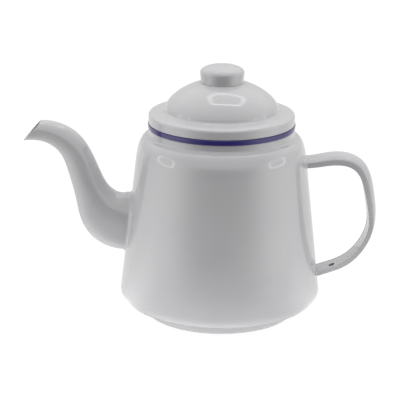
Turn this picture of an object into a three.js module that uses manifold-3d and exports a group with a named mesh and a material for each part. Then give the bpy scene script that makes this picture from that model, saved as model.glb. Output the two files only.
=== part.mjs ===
// Enamel teapot with a lift-off lid, in millimetres, +Z up, standing on z = 0.
// While the pieces are made the pot's axis is the Z axis, with the spout towards -X and the handle
// towards +X. Each finished piece then moves along X, so that the origin is under the middle of the
// teapot's whole length.
import * as THREE from "three";
import { mergeVertices } from "three/addons/utils/BufferGeometryUtils.js";
import Module from "manifold-3d";

const wasm = await Module();
wasm.setup();

// Sheet, clearances and fineness
const sheet = 1; // steel with its enamel on both sides
const seatGap = 0.3; // between a piece and what it rests on
const cutOverrun = 4; // how far a cutting shape passes what it cuts
const roundSag = 0.09; // how far a facet may lie inside a small rounding
const mergeDistance = 0.0005; // points closer than this are one point
const potFacets = 40;
const knobFacets = 32;

// Foot and base plate
const footRadius = 52.6;
const footHeight = 4.9;
const footRounding = 0.7;
const standRingWidth = 6;
const baseRaise = 3; // height of the middle of the base over the table
const baseSlopeWidth = 4;
const baseRounding = 2;
const flangeLap = 3.6; // how far the pot's turned-down edge reaches into the foot

// Pot wall, shoulder and neck. The wall and the underside meet at the wall's foot, then rounded.
const wallFootRadius = 71.1;
const wallFootHeight = 11;
const wallFootRounding = 8;
const shoulderRadius = 59.6;
const shoulderHeight = 111.7;
const shoulderRise = 16.2;
const neckRadius = 50.4;
const neckRounding = 2.3;
const neckHeight = 5.9;
const shoulderUprightShare = 0.58; // of its rise, how long the shoulder goes on along the wall
const shoulderLevelShare = 0.52; // of its run, how long it comes in almost level
const neckRoundingShare = 0.3; // of the neck's rounding, the rise where it turns upright
const shoulderSteps = 5;
const neckSteps = 3;

// Rolled rim
const rimWidth = 2.5;
const rimHeight = 3.6;
const rimTuck = 0.3; // the rolled edge's lower end leans in by this much

// Lid and its collar
const lidRadius = 50.9;
const brimHeight = 6.65; // of the upright edge, up to its corner
const brimFall = 1.25; // from the dome's foot down to that corner
const brimRounding = 3;
const domeFootRadius = 40;
const domeFootRounding = 1;
const domeHeight = 22.6;
const domePowerShare = 1.14; // 1 is an ellipse, more is more pointed
const domeSteps = 7;
const lidPlay = 0.8; // of the collar inside the mouth
const collarDepth = 7;
const collarFlangeWidth = 6;

// Knob
const knobRadius = 15.4;
const knobRimRadius = 14.7;
const knobSideHeight = 6.6;
const knobCrown = 5.5;
const knobPowerShare = 0.92;
const knobSteps = 6;
const knobSeatLip = 0.9; // the flat seat on the dome is wider than the knob's rim by this much

// Spout. Its middle line starts inside the pot and is given as shares of how far it stands out from
// the shoulder's radius and of how far it rises; each station also has its half height and half width
// as shares of those at the root.
const spoutRootHeight = 64.9;
const spoutOut = 77.4; // the lip, past the shoulder's radius
const spoutRise = 65.2; // from the middle of the root to the highest middle
const spoutRootHalfHeight = 21;
const spoutRootHalfWidth = 12.2;
const spoutLipSlope = 0.857; // angle of the mouth's plane, in radians from level
const spoutLipHeight = 124; // the lowest point of the lip
const spoutSides = 16;
const spoutSteps = 28;
const spoutStationShares = [
  [-0.06, 0, 1, 1],
  [0.084, 0, 1, 1],
  [0.174, 0.022, 1, 1],
  [0.257, 0.08, 0.94, 1],
  [0.326, 0.167, 0.8, 0.985],
  [0.379, 0.274, 0.646, 0.96],
  [0.421, 0.39, 0.554, 0.925],
  [0.486, 0.604, 0.498, 0.86],
  [0.541, 0.759, 0.466, 0.8],
  [0.614, 0.877, 0.442, 0.742],
  [0.717, 0.96, 0.403, 0.675],
  [0.851, 1, 0.35, 0.57],
  [1.012, 0.982, 0.278, 0.45],
  [1.06, 0.97, 0.266, 0.43],
];

// Strainer behind the spout
const strainerHoleRadius = 2;
const strainerPitch = 6.6;
const strainerMargin = 1.6;
const strainerFacets = 10;

// Handle. Its middle line starts and ends inside the pot and is given as shares of how far it stands
// out from the shoulder's radius and of its drop from the highest middle; each station also has the
// handle's thickness there as a share of the greatest.
const handleOut = 46.8; // the middle line's farthest point, past the shoulder's radius
const handleTopRise = 1.05; // the middle line's highest point, over the shoulder's height
const handleDrop = 86.75;
const handleWidth = 17.6;
const handleThickness = 7.7; // where it is thickest, in the bend of the upper arm
const handleSideRise = 0.3; // where the outer strip's crown starts, over the middle line
const handleInnerCrown = 0.2;
const handleCrownPowerShare = 0.8;
const handleCrownSteps = 6;
const handleInnerSteps = 4;
const handleSteps = 36;
const handleStationShares = [
  [-0.12, 0.032, 0.88],
  [0.06, 0.028, 0.88],
  [0.22, 0.015, 0.92],
  [0.417, 0, 0.98],
  [0.614, 0.009, 1],
  [0.745, 0.041, 1],
  [0.839, 0.093, 0.99],
  [0.91, 0.176, 0.93],
  [0.957, 0.281, 0.865],
  [1, 0.425, 0.77],
  [0.999, 0.568, 0.61],
  [0.92, 0.697, 0.54],
  [0.769, 0.814, 0.53],
  [0.578, 0.894, 0.53],
  [0.353, 0.943, 0.53],
  [0.143, 0.98, 0.53],
  [0.003, 1, 0.53],
];
const ventRadius = 1.8;
const ventFromWall = 11.2; // from the pot's wall to the vent, level
const ventAcrossShare = -0.5; // off the strip's middle, towards -Y
const ventFacets = 12;
const ventSearchSteps = 400;

// Heights that follow from the sizes above
const neckFoot = shoulderHeight + shoulderRise;
const rimBottom = neckFoot + neckHeight;
const rimTop = rimBottom + rimHeight;
const rimOuterRadius = neckRadius - sheet + rimWidth;
const lidBottom = rimTop + seatGap;
const brimTop = lidBottom + brimHeight;
const domeFoot = brimTop + brimFall;
const handleRootRadius = shoulderRadius;
const handleTop = shoulderHeight + handleTopRise;

// Colours of the plain model
const whiteEnamel = { color: 0xc9c9cb, roughness: 0.16, metalness: 0 };
const blueEnamel = { color: 0x2b2650, roughness: 0.18, metalness: 0 };

// A closed three.js geometry as a manifold-3d solid. Faces that shrank to a line are left out.
function solidOf(geometry) {
  const bare = new THREE.BufferGeometry();
  bare.setAttribute("position", geometry.getAttribute("position"));
  bare.setIndex(geometry.index);
  const merged = mergeVertices(bare, mergeDistance);
  const index = merged.index.array;
  const triVerts = [];
  for (let i = 0; i < index.length; i += 3) {
    const [a, b, c] = index.slice(i, i + 3);
    if (a !== b && b !== c && c !== a) triVerts.push(a, b, c);
  }
  const vertProperties = merged.attributes.position.array;
  const parts = { numProp: 3, vertProperties, triVerts: new Uint32Array(triVerts) };
  return new wasm.Manifold(new wasm.Mesh(parts));
}

// A corner is [x, y, rounding]; the result runs through the corners with an arc at each rounded one.
function roundedLine(corners) {
  const places = corners.map(([x, y]) => new THREE.Vector2(x, y));
  const points = [];
  const add = (point) => {
    const last = points[points.length - 1];
    if (!last || last.distanceTo(point) > mergeDistance) points.push(point);
  };
  corners.forEach(([, , rounding = 0], i) => {
    const corner = places[i];
    if (!rounding) {
      add(corner);
      return;
    }
    const back = places[i - 1].clone().sub(corner).normalize();
    const ahead = places[i + 1].clone().sub(corner).normalize();
    const halfOpening = Math.acos(back.dot(ahead)) / 2;
    const turn = Math.PI - 2 * halfOpening;
    const middle = back.clone().add(ahead).normalize();
    const centre = corner.clone().addScaledVector(middle, rounding / Math.sin(halfOpening));
    const start = corner.clone().addScaledVector(back, rounding / Math.tan(halfOpening));
    const steps = Math.max(2, Math.ceil(turn / (2 * Math.acos(1 - roundSag / rounding))));
    const side = Math.sign(ahead.cross(back));
    for (let k = 0; k <= steps; k += 1) {
      add(start.clone().rotateAround(centre, (side * turn * k) / steps));
    }
  });
  return points;
}

// Quarter of a superellipse from the edge, where it runs upright, to the crown, where it lies level.
// It stops early at the radius in stopRadius.
function crownArc(edgeRadius, edgeHeight, crownHeight, powerShare, steps, stopRadius = 0) {
  const lastAngle = Math.acos((stopRadius / edgeRadius) ** (1 / powerShare));
  return Array.from({ length: steps + 1 }, (_, k) => {
    const angle = (lastAngle * k) / steps;
    const radius = k === steps ? stopRadius : edgeRadius * Math.cos(angle) ** powerShare;
    const rise = (crownHeight - edgeHeight) * Math.sin(angle) ** powerShare;
    return new THREE.Vector2(radius, edgeHeight + rise);
  });
}

// The line moved to its left by a distance, or to its right by a negative one. Radii stay over zero.
function offsetLine(points, distance) {
  const leftOf = (from, to) => {
    const along = to.clone().sub(from).normalize();
    return new THREE.Vector2(-along.y, along.x);
  };
  return points.map((point, i) => {
    const before = leftOf(points[Math.max(i - 1, 0)], points[Math.max(i, 1)]);
    const last = points.length - 1;
    const after = leftOf(points[Math.min(i, last - 1)], points[Math.min(i + 1, last)]);
    const mean = before.clone().add(after).normalize();
    const moved = point.clone().addScaledVector(mean, distance / mean.dot(before));
    moved.x = Math.max(moved.x, 0);
    return moved;
  });
}

// Closed outline of a sheet whose outer skin is the line and whose thickness lies on the line's left.
function sheetOutline(points, thickness) {
  return [...points, ...offsetLine(points, thickness).reverse()];
}

// Closed (radius, height) outline turned about the Z axis.
function revolve(outline, facets) {
  const forward = THREE.ShapeUtils.isClockWise(outline) ? [...outline].reverse() : outline;
  const lathe = new THREE.LatheGeometry([...forward, forward[0]], facets);
  lathe.rotateX(Math.PI / 2);
  return solidOf(lathe);
}

// Closed outlines swept along stations in the XZ plane. A station has its point and the unit normal
// that lies on the left of the way the sweep runs. An outline's x runs across, along +Y, and its y
// along the normal; it is counterclockwise and has as many points at every station.
function sweep(stations, outlineAt) {
  const position = [];
  const index = [];
  const count = outlineAt(0).length;
  stations.forEach(({ point, normal }, i) => {
    outlineAt(i).forEach(({ x, y }) => {
      position.push(point.x + normal.x * y, x, point.z + normal.z * y);
    });
    for (let k = 0; i > 0 && k < count; k += 1) {
      const here = i * count + k;
      const next = i * count + ((k + 1) % count);
      index.push(here - count, next - count, next);
      index.push(here - count, next, here);
    }
  });
  const end = (stations.length - 1) * count;
  for (const [a, b, c] of THREE.ShapeUtils.triangulateShape(outlineAt(0), [])) {
    index.push(c, b, a);
  }
  for (const [a, b, c] of THREE.ShapeUtils.triangulateShape(outlineAt(stations.length - 1), [])) {
    index.push(end + a, end + b, end + c);
  }
  const geometry = new THREE.BufferGeometry();
  geometry.setAttribute("position", new THREE.Float32BufferAttribute(position, 3));
  geometry.setIndex(index);
  return solidOf(geometry);
}

// Station at a share of a curve in the XZ plane, with its left-hand normal.
function stationAt(curve, share) {
  const along = curve.getTangent(share);
  return {
    point: curve.getPoint(share),
    normal: new THREE.Vector3(-along.z, 0, along.x),
    share,
  };
}

function stationsOf(curve, steps) {
  return Array.from({ length: steps + 1 }, (_, i) => stationAt(curve, i / steps));
}

// A round cutter through a point, along a direction, long enough to pass the sheet both ways.
function drill(point, direction, radius, facets) {
  const length = 2 * (sheet + cutOverrun);
  const cylinder = new THREE.CylinderGeometry(radius, radius, length, facets);
  const up = new THREE.Vector3(0, 1, 0);
  const turned = new THREE.Quaternion().setFromUnitVectors(up, direction);
  cylinder.applyQuaternion(turned);
  cylinder.translate(point.x, point.y, point.z);
  return solidOf(cylinder);
}

// Radius of the pot's outer wall at a height between its foot and the shoulder.
function wallRadiusAt(height) {
  const share = (height - wallFootHeight) / (shoulderHeight - wallFootHeight);
  return THREE.MathUtils.lerp(wallFootRadius, shoulderRadius, share);
}

// Height of the pot's underside at a radius. It clears the top of the foot's wall.
function undersideAt(radius) {
  const low = footHeight + seatGap;
  const share = (radius - footRadius) / (wallFootRadius - footRadius);
  return THREE.MathUtils.lerp(low, wallFootHeight, share);
}

// Outer skin of the pot: the edge turned down into the foot, underside, wall, shoulder and neck.
function potSkin() {
  const flangeRadius = footRadius - sheet - seatGap;
  const flangeTop = undersideAt(flangeRadius);
  const lower = roundedLine([
    [flangeRadius, flangeTop - flangeLap],
    [flangeRadius, flangeTop],
    [wallFootRadius, wallFootHeight, wallFootRounding],
    [shoulderRadius, shoulderHeight],
  ]);
  const shoulderEndRadius = neckRadius + neckRounding;
  const wallLean = (wallFootRadius - shoulderRadius) / (shoulderHeight - wallFootHeight);
  const softRise = shoulderRise * shoulderUprightShare;
  const softRun = (shoulderRadius - shoulderEndRadius) * shoulderLevelShare;
  const softNeck = neckRounding * neckRoundingShare;
  const shoulder = new THREE.CubicBezierCurve(
    new THREE.Vector2(shoulderRadius, shoulderHeight),
    new THREE.Vector2(shoulderRadius - wallLean * softRise, shoulderHeight + softRise),
    new THREE.Vector2(shoulderEndRadius + softRun, neckFoot - softNeck),
    new THREE.Vector2(shoulderEndRadius, neckFoot),
  );
  const neck = new THREE.QuadraticBezierCurve(
    new THREE.Vector2(shoulderEndRadius, neckFoot),
    new THREE.Vector2(neckRadius, neckFoot + softNeck),
    new THREE.Vector2(neckRadius, neckFoot + neckRounding),
  );
  return [
    ...lower,
    ...shoulder.getPoints(shoulderSteps).slice(1),
    ...neck.getPoints(neckSteps).slice(1),
    new THREE.Vector2(neckRadius, rimBottom - seatGap),
  ];
}

// The pot filled to its axis and grown by the seat gap: what the spout and the handle stop at.
function potEnvelope() {
  const grown = offsetLine(potSkin(), -seatGap);
  const bottom = new THREE.Vector2(0, grown[0].y);
  const top = new THREE.Vector2(0, grown[grown.length - 1].y);
  return revolve([bottom, ...grown, top], potFacets);
}

// Small round holes through the wall behind the spout, in staggered rows, inside the spout's root.
function strainerHoles() {
  const halfHeight = spoutRootHalfHeight - sheet - strainerHoleRadius - strainerMargin;
  const halfWidth = spoutRootHalfWidth - sheet - strainerHoleRadius - strainerMargin;
  const rowPitch = strainerPitch * Math.sin(Math.PI / 3);
  const rows = Math.floor(halfHeight / rowPitch);
  const columns = Math.floor(halfWidth / strainerPitch) + 1;
  const holes = [];
  for (let row = -rows; row <= rows; row += 1) {
    for (let column = -columns; column <= columns; column += 1) {
      const across = (column + (row % 2 ? 0.5 : 0)) * strainerPitch;
      const rise = row * rowPitch;
      if ((across / halfWidth) ** 2 + (rise / halfHeight) ** 2 > 1) continue;
      const height = spoutRootHeight + rise;
      const wall = Math.sqrt(wallRadiusAt(height) ** 2 - across ** 2);
      const place = new THREE.Vector3(sheet / 2 - wall, across, height);
      holes.push(drill(place, new THREE.Vector3(1, 0, 0), strainerHoleRadius, strainerFacets));
    }
  }
  return wasm.Manifold.union(holes);
}

function bodyShell() {
  const shell = revolve(sheetOutline(potSkin(), sheet), potFacets);
  return shell.subtract(strainerHoles());
}

// Pressed dish: the raised middle, the ring that it stands on and the upright wall of the foot.
function basePlate() {
  const ringInner = footRadius - standRingWidth;
  const skin = roundedLine([
    [0, baseRaise],
    [ringInner - baseSlopeWidth, baseRaise, baseRounding],
    [ringInner, 0, baseRounding],
    [footRadius, 0, footRounding],
    [footRadius, undersideAt(footRadius - sheet) - seatGap],
  ]);
  return revolve(sheetOutline(skin, sheet), potFacets);
}

// The mouth's edge, rolled outwards and pressed back against itself.
function rimBead() {
  const innerRadius = neckRadius - sheet;
  const rounding = (rimWidth - rimTuck) / 2;
  const skin = roundedLine([
    [innerRadius, rimBottom],
    [innerRadius, rimTop, rounding],
    [rimOuterRadius, rimTop, rounding],
    [rimOuterRadius - rimTuck, rimBottom],
  ]);
  return revolve(sheetOutline(skin, -sheet), potFacets);
}

// Lid: upright edge, brim that rises a little inwards and dome, with a flat seat for the knob.
function lidSkin() {
  const seatRadius = knobRimRadius + knobSeatLip;
  const crown = domeFoot + domeHeight;
  const dome = crownArc(domeFootRadius, domeFoot, crown, domePowerShare, domeSteps, seatRadius);
  const brim = roundedLine([
    [lidRadius, lidBottom],
    [lidRadius, brimTop, brimRounding],
    [domeFootRadius, domeFoot, domeFootRounding],
    [dome[1].x, dome[1].y],
  ]);
  return [...brim, ...dome.slice(2)];
}

function lidShell() {
  const skin = lidSkin();
  const seat = skin[skin.length - 1];
  return revolve(sheetOutline([...skin, new THREE.Vector2(0, seat.y)], sheet), potFacets);
}

// Height of the flange on the collar at a radius. It lies under the brim and rises with it.
function flangeTopAt(radius) {
  const slope = Math.atan2(brimFall, lidRadius - domeFootRadius);
  const brim = brimTop + (lidRadius - radius) * Math.tan(slope);
  return brim - (sheet + seatGap) / Math.cos(slope);
}

// Band that hangs from the brim into the mouth, with a flange turned in under the brim.
function lidCollar() {
  const radius = neckRadius - sheet - lidPlay;
  const flangeRadius = radius - collarFlangeWidth;
  const skin = roundedLine([
    [radius, lidBottom - collarDepth],
    [radius, flangeTopAt(radius), brimRounding / 2],
    [flangeRadius, flangeTopAt(flangeRadius)],
  ]);
  return revolve(sheetOutline(skin, sheet), potFacets);
}

function knobCap() {
  const skin = lidSkin();
  const bottom = skin[skin.length - 1].y + seatGap;
  const sideTop = bottom + knobSideHeight;
  const crown = crownArc(knobRadius, sideTop, sideTop + knobCrown, knobPowerShare, knobSteps);
  const rim = new THREE.Vector2(knobRimRadius, bottom);
  return revolve(sheetOutline([rim, ...crown], sheet), knobFacets);
}

// Upright places of the spout's stations, run through by a smooth curve. Its third size keeps the
// half height in step with the place, so that one curve gives both.
function spoutCurve(shareIndex) {
  const places = spoutStationShares.map((shares) => {
    const x = -(shoulderRadius + spoutOut * shares[0]);
    const z = spoutRootHeight + spoutRise * shares[1];
    return new THREE.Vector3(x, shares[shareIndex], z);
  });
  return new THREE.CatmullRomCurve3(places, false, "centripetal");
}

// Tube along the spout with oval sections, all drawn in by a thickness.
function spoutTube(thickness) {
  const path = spoutCurve(2);
  const widths = spoutCurve(3);
  const stations = stationsOf(path, spoutSteps);
  return sweep(stations, (i) => {
    const halfHeight = stations[i].point.y * spoutRootHalfHeight - thickness;
    const halfWidth = widths.getPoint(stations[i].share).y * spoutRootHalfWidth - thickness;
    return Array.from({ length: spoutSides }, (_, k) => {
      const angle = (2 * Math.PI * k) / spoutSides;
      return new THREE.Vector2(halfWidth * Math.cos(angle), halfHeight * Math.sin(angle));
    });
  });
}

// Two pressed shells that meet on the plane y = 0, open at the pot and at the slanted mouth.
function spoutHalves() {
  const lipX = -(shoulderRadius + spoutOut);
  const normal = [Math.sin(spoutLipSlope), 0, -Math.cos(spoutLipSlope)];
  const offset = lipX * normal[0] + spoutLipHeight * normal[2];
  const tube = spoutTube(0).subtract(spoutTube(sheet));
  const cut = tube.trimByPlane(normal, offset).subtract(potEnvelope());
  return cut.splitByPlane([0, 1, 0], 0);
}

// Middle line of the handle. Its third size keeps the thickness share in step with the place.
function handleCurve() {
  const places = handleStationShares.map(([out, drop, thickness]) => {
    const x = handleRootRadius + handleOut * out;
    return new THREE.Vector3(x, thickness, handleTop - handleDrop * drop);
  });
  return new THREE.CatmullRomCurve3(places, false, "centripetal");
}

function halfThicknessAt({ point }) {
  return (handleThickness * point.y) / 2;
}

// How far the handle reaches from the pot's axis.
function handleReach() {
  const stations = stationsOf(handleCurve(), handleSteps);
  return Math.max(
    ...stations.map((station) => station.point.x + station.normal.x * halfThicknessAt(station)),
  );
}

// Share of the handle's curve, going back from its lower end, where it first stands out from the
// pot's wall by a distance.
function shareOffWall(curve, distance) {
  const shares = Array.from({ length: ventSearchSteps }, (_, i) => 1 - i / ventSearchSteps);
  return shares.find((share) => {
    const { x, z } = curve.getPoint(share);
    return x - wallRadiusAt(z) > distance;
  });
}

// Channel with a crowned back and two side walls.
function handleOuter() {
  const halfWidth = handleWidth / 2;
  const insideShare = (halfWidth - sheet) / halfWidth;
  const stations = stationsOf(handleCurve(), handleSteps);
  const channel = sweep(stations, (i) => {
    const halfThickness = halfThicknessAt(stations[i]);
    const sideEnd = handleInnerCrown + sheet + seatGap - halfThickness;
    const crown = crownArc(
      halfWidth,
      handleSideRise,
      halfThickness,
      handleCrownPowerShare,
      handleCrownSteps / 2,
    );
    const otherSide = crown.slice(0, -1).map(({ x, y }) => new THREE.Vector2(-x, y));
    const skin = [
      new THREE.Vector2(halfWidth, sideEnd),
      ...crown,
      ...otherSide.reverse(),
      new THREE.Vector2(-halfWidth, sideEnd),
    ];
    const inside = skin.map(({ x, y }) => {
      return new THREE.Vector2(x * insideShare, y === sideEnd ? y : y - sheet);
    });
    return [...skin, ...inside.reverse()];
  });
  return channel.subtract(potEnvelope());
}

// Strip that closes the channel, bowed a little towards the fingers, with the vent hole.
function handleInner() {
  const halfWidth = handleWidth / 2;
  const curve = handleCurve();
  const stations = stationsOf(curve, handleSteps);
  const strip = sweep(stations, (i) => {
    const edge = handleInnerCrown - halfThicknessAt(stations[i]);
    const skin = Array.from({ length: handleInnerSteps + 1 }, (_, k) => {
      const across = (2 * k) / handleInnerSteps - 1;
      const bow = handleInnerCrown * (1 - across ** 2);
      return new THREE.Vector2(halfWidth * across, edge - bow);
    });
    const back = skin.map(({ x, y }) => new THREE.Vector2(x, y + sheet));
    return [...skin, ...back.reverse()];
  });
  const station = stationAt(curve, shareOffWall(curve, ventFromWall));
  const rise = handleInnerCrown + sheet / 2 - halfThicknessAt(station);
  const face = station.point.clone().addScaledVector(station.normal, rise);
  face.y = halfWidth * ventAcrossShare;
  const vent = drill(face, station.normal, ventRadius, ventFacets);
  return strip.subtract(potEnvelope()).subtract(vent);
}

// A named mesh of a solid, moved so that the origin lies under the middle of the whole length.
function meshOf(name, solid, look) {
  const spoutReach = shoulderRadius + spoutOut;
  const mesh = solid.translate([(spoutReach - handleReach()) / 2, 0, 0]).getMesh();
  const geometry = new THREE.BufferGeometry();
  geometry.setAttribute("position", new THREE.BufferAttribute(mesh.vertProperties, 3));
  geometry.setIndex(new THREE.BufferAttribute(mesh.triVerts, 1));
  geometry.computeVertexNormals();
  const made = new THREE.Mesh(geometry, new THREE.MeshStandardMaterial(look));
  made.name = name;
  return made;
}

const [spoutFar, spoutNear] = spoutHalves();
const part = new THREE.Group();
part.name = "enamel_teapot";
part.add(meshOf("body_shell", bodyShell(), whiteEnamel));
part.add(meshOf("base_plate", basePlate(), whiteEnamel));
part.add(meshOf("rim_bead", rimBead(), blueEnamel));
part.add(meshOf("spout_near_half", spoutNear, whiteEnamel));
part.add(meshOf("spout_far_half", spoutFar, whiteEnamel));
part.add(meshOf("handle_outer", handleOuter(), whiteEnamel));
part.add(meshOf("handle_inner", handleInner(), whiteEnamel));
part.add(meshOf("lid_shell", lidShell(), whiteEnamel));
part.add(meshOf("lid_collar", lidCollar(), whiteEnamel));
part.add(meshOf("knob_cap", knobCap(), whiteEnamel));

export default part;
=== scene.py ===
# Enamelled steel teapot with a lift-off lid, dressed for its photograph. Metres, +Z up, handle towards +X.
import math

import bmesh
import bpy
import numpy as np
from mathutils import Matrix, Vector


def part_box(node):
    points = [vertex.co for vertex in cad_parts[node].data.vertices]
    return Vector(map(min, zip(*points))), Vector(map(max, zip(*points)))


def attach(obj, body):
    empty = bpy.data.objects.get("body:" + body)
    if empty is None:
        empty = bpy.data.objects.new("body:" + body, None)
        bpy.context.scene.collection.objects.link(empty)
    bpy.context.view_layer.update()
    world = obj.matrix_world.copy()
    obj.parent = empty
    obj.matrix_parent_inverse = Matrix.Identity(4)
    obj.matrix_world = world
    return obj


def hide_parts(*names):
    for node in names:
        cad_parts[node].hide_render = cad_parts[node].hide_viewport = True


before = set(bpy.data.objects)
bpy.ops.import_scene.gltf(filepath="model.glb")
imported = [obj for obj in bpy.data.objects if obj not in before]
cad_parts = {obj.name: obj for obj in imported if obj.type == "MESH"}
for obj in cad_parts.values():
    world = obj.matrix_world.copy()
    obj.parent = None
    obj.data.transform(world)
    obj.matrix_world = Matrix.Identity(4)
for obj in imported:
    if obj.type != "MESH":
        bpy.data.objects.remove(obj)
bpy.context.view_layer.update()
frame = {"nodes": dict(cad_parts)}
print("frame loaded:", len(frame["nodes"]), "nodes")

mm = 0.001
rimLow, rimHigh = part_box("rim_bead")
potAxis = np.array([(rimLow.x + rimHigh.x) / 2, 0.0, 0.0])  # the pot's own axis, in the frame
sheet = 1.0  # steel with its enamel, in mm
sharpAngle = math.radians(38)
mergeDistance, sliverLength = 2e-6, 1e-7  # in metres


# Meshes from numpy arrays

def meshObject(name, vertices, faces, material, body, slot, node):
    # vertices in mm about the pot's axis; faces is a list of index arrays, one per face size
    data = bpy.data.meshes.new(name)
    loops = np.concatenate([block.ravel() for block in faces]).astype(np.int32)
    sizes = np.concatenate([np.full(len(block), block.shape[1]) for block in faces])
    data.vertices.add(len(vertices))
    data.vertices.foreach_set("co", (vertices * mm + potAxis).astype(np.float32).ravel())
    data.loops.add(len(loops))
    data.loops.foreach_set("vertex_index", loops)
    data.polygons.add(len(sizes))
    data.polygons.foreach_set("loop_start", (np.cumsum(sizes) - sizes).astype(np.int32))
    data.update(calc_edges=True)
    data.materials.append(material)
    closeMesh(data)
    piece = bpy.data.objects.new(name, data)
    bpy.context.scene.collection.objects.link(piece)
    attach(piece, body)
    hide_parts(node)
    return piece


def closeMesh(data):
    # merges seams and poles, turns the faces outwards and marks the edges that stay crisp
    work = bmesh.new()
    work.from_mesh(data)
    bmesh.ops.remove_doubles(work, verts=work.verts, dist=mergeDistance)
    bmesh.ops.dissolve_degenerate(work, edges=work.edges, dist=sliverLength)
    bmesh.ops.recalc_face_normals(work, faces=work.faces)
    work.to_mesh(data)
    work.free()
    data.shade_smooth()
    data.set_sharp_from_angle(angle=sharpAngle)


def gridFaces(rows, columns, closedRows, closedColumns):
    # quads between neighbouring places of a grid, going round where a direction is closed
    firstRows, firstColumns = np.arange(rows - (not closedRows)), np.arange(columns - (not closedColumns))
    i, j = np.meshgrid(firstRows, firstColumns, indexing="ij")
    nextI, nextJ = (i + 1) % rows, (j + 1) % columns
    corners = [i * columns + j, nextI * columns + j, nextI * columns + nextJ, i * columns + nextJ]
    return np.stack([corner.ravel() for corner in corners], axis=1)


def revolve(outline, segments):
    # (r, z) turned about the axis: x = r cos a, y = r sin a, for a from 0 to one turn
    angle = np.linspace(0, 2 * np.pi, segments, endpoint=False)[:, None]
    r, z = outline[:, 0][None, :], outline[:, 1][None, :]
    points = np.stack([r * np.cos(angle), r * np.sin(angle), z + 0 * angle], axis=2)
    return points.reshape(-1, 3), [gridFaces(segments, len(outline), True, True)]


# Lines in a plane

def roundedLine(corners, steps):
    # straight runs between [a, b, rounding] corners, each rounded corner an arc tangent to both runs
    places = np.array([corner[:2] for corner in corners], float)
    pieces = []
    for i, corner in enumerate(corners):
        rounding = corner[2] if len(corner) > 2 else 0
        if not rounding:
            pieces.append(places[i][None, :])
            continue
        back = (places[i - 1] - places[i]) / np.linalg.norm(places[i - 1] - places[i])
        ahead = (places[i + 1] - places[i]) / np.linalg.norm(places[i + 1] - places[i])
        half = math.acos(np.clip(back @ ahead, -1, 1)) / 2
        middle = (back + ahead) / np.linalg.norm(back + ahead)
        centre = places[i] + middle * rounding / math.sin(half)
        start = places[i] + back * rounding / math.tan(half) - centre
        side = np.sign(ahead[0] * back[1] - ahead[1] * back[0])
        turn = side * np.linspace(0, math.pi - 2 * half, steps + 1)[:, None]
        across = np.array([-start[1], start[0]])
        pieces.append(centre + np.cos(turn) * start + np.sin(turn) * across)
    return np.concatenate(pieces)


def bezier(a, b, c, d, steps):
    # cubic from a to d, pulled towards b and c
    t = np.linspace(0, 1, steps + 1)[:, None]
    a, b, c, d = (np.array(point, float) for point in (a, b, c, d))
    return (1 - t) ** 3 * a + 3 * (1 - t) ** 2 * t * b + 3 * (1 - t) * t**2 * c + t**3 * d


def crownArc(edge, crownHeight, power, steps, stopRadius=0.0):
    # quarter of a superellipse: radius = edge radius * cos(a)^power, rise = full rise * sin(a)^power
    last = math.acos((stopRadius / edge[0]) ** (1 / power))
    angle = np.linspace(0, last, steps + 1)
    radius = edge[0] * np.abs(np.cos(angle)) ** power
    radius[-1] = stopRadius
    return np.stack([radius, edge[1] + (crownHeight - edge[1]) * np.sin(angle) ** power], axis=1)


def dense(line, spacing):
    # the line without double points and with more along its straight runs, none farther apart than the spacing
    line = line[np.r_[True, np.linalg.norm(np.diff(line, axis=0), axis=1) > 1e-4]]
    runs = np.linalg.norm(np.diff(line, axis=0), axis=1)
    counts = np.maximum(1, np.ceil(runs / spacing)).astype(int)
    place = np.concatenate([i + np.arange(n) / n for i, n in enumerate(counts)] + [[len(runs)]])
    index = np.arange(len(line))
    return np.stack([np.interp(place, index, values) for values in line.T], axis=1)


def offsetLine(line, distance):
    # every point moved along the mean of its runs' left-hand normals, lengthened to keep the thickness
    along = np.diff(line, axis=0)
    along /= np.linalg.norm(along, axis=1)[:, None]
    left = np.stack([-along[:, 1], along[:, 0]], axis=1)
    before, after = np.vstack([left[:1], left]), np.vstack([left, left[-1:]])
    mean = before + after
    mean /= np.linalg.norm(mean, axis=1)[:, None]
    moved = line + mean * distance / np.sum(mean * before, axis=1)[:, None]
    moved[:, 0] = np.maximum(moved[:, 0], 0)
    return moved


def sheetOutline(line, thickness):
    # closed outline of a sheet that lies on the left of its outer line
    return np.vstack([line, offsetLine(line, thickness)[::-1]])


def smoothPath(rows, count):
    # cubic spline with even curvature through the rows, sampled evenly by the length between them
    rows = np.array(rows, float)
    gaps = np.maximum(np.linalg.norm(np.diff(rows[:, :2], axis=0), axis=1), 1e-6) ** 0.5
    knots = np.r_[0, np.cumsum(gaps)]
    n = len(rows)
    system, right = np.zeros((n, n)), np.zeros((n, rows.shape[1]))
    system[0, 0] = system[-1, -1] = 1
    for k in range(1, n - 1):
        system[k, k - 1 : k + 2] = gaps[k - 1], 2 * (gaps[k - 1] + gaps[k]), gaps[k]
        right[k] = 6 * ((rows[k + 1] - rows[k]) / gaps[k] - (rows[k] - rows[k - 1]) / gaps[k - 1])
    bend = np.linalg.solve(system, right)
    place = np.linspace(0, knots[-1], count)
    k = np.clip(np.searchsorted(knots, place, side="right") - 1, 0, n - 2)
    h, before, after = gaps[k][:, None], (knots[k + 1] - place)[:, None], (place - knots[k])[:, None]
    curved = (bend[k] * before**3 + bend[k + 1] * after**3) / (6 * h)
    straight = (rows[k] / h - bend[k] * h / 6) * before + (rows[k + 1] / h - bend[k + 1] * h / 6) * after
    return curved + straight


# Materials

def linear(hexColour):
    # sRGB hex to linear RGBA
    parts = np.array([int(hexColour[i : i + 2], 16) for i in (1, 3, 5)]) / 255
    value = np.where(parts <= 0.04045, parts / 12.92, ((parts + 0.055) / 1.055) ** 2.4)
    return (*value, 1.0)


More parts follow.
